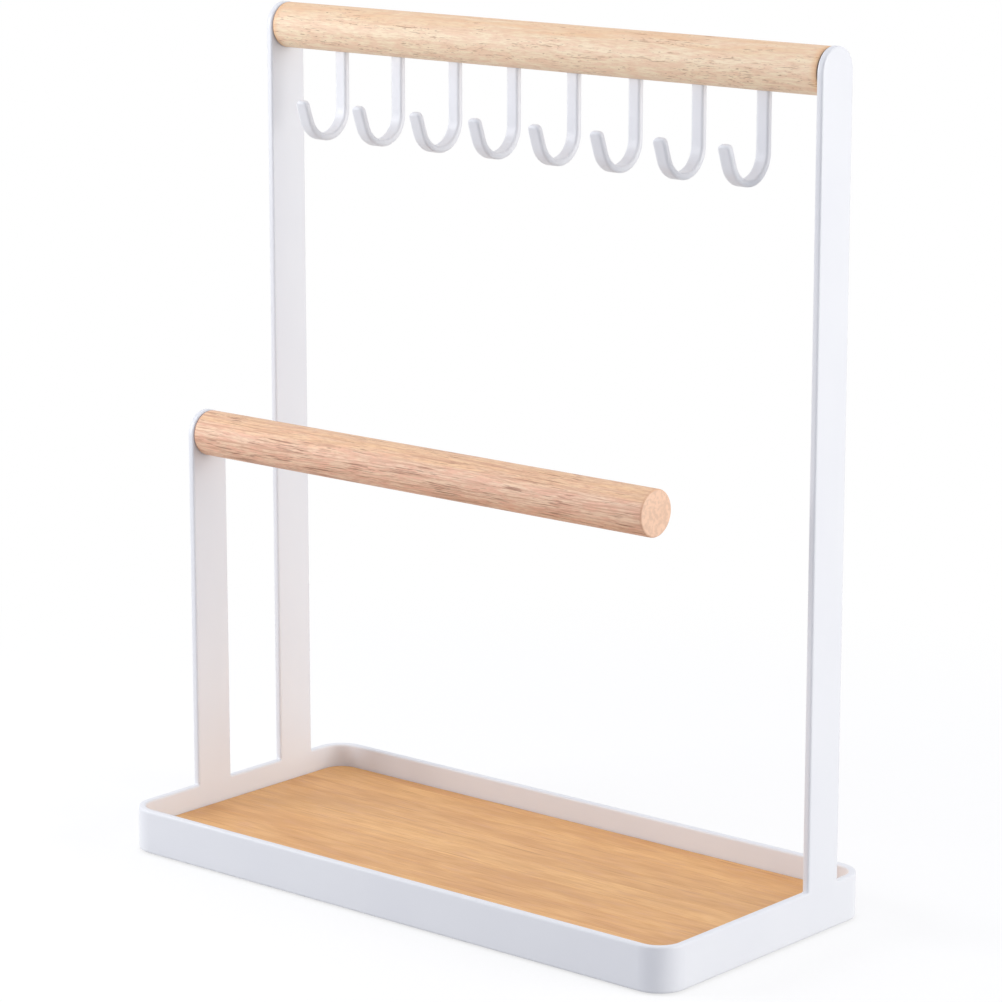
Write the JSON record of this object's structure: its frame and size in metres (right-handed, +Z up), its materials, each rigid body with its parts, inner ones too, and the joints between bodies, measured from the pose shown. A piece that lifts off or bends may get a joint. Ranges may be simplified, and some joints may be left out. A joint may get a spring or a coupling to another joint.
{
  "type": "jewelry stand with tray",
  "caption": "Tabletop jewelry stand: a shallow steel tray with a bamboo floor, flat uprights carrying a round wooden bar with J hooks, and a shorter wooden arm for watches and bracelets.",
  "frame": {"origin": "on the surface that the stand rests on, under the middle of the tray", "axes": "+X along the tray's long side, to the right when the hooks open towards the viewer; +Y to the back; +Z up"},
  "size_m": [0.2304, 0.1054, 0.28],
  "materials": {
    "coated_steel": "satin white powder coat",
    "top_bar_wood": "smooth sanded pale hardwood, clear matt seal",
    "side_arm_wood": "smooth sanded pale hardwood, clear matt seal",
    "bamboo_board": "laminated bamboo strips, matt lacquer",
    "foot_rubber": "soft matt, translucent white",
    "screw_steel": "zinc plated",
    "insert_brass": "turned"
  },
  "bodies": {
    "root": {"frame": "coated_steel", "bottom_plate": "coated_steel", "base_board": "bamboo_board", "foot_pad_front_left": "foot_rubber", "foot_pad_front_right": "foot_rubber", "foot_pad_rear_left": "foot_rubber", "foot_pad_rear_right": "foot_rubber", "top_bar": "top_bar_wood", "side_arm": "side_arm_wood", "hook_1": "coated_steel", "hook_2": "coated_steel", "hook_3": "coated_steel", "hook_4": "coated_steel", "hook_5": "coated_steel", "hook_6": "coated_steel", "hook_7": "coated_steel", "hook_8": "coated_steel", "top_bar_screw": "screw_steel", "top_bar_insert": "insert_brass", "side_arm_screw": "screw_steel", "side_arm_insert": "insert_brass"}
  },
  "joints": []
}
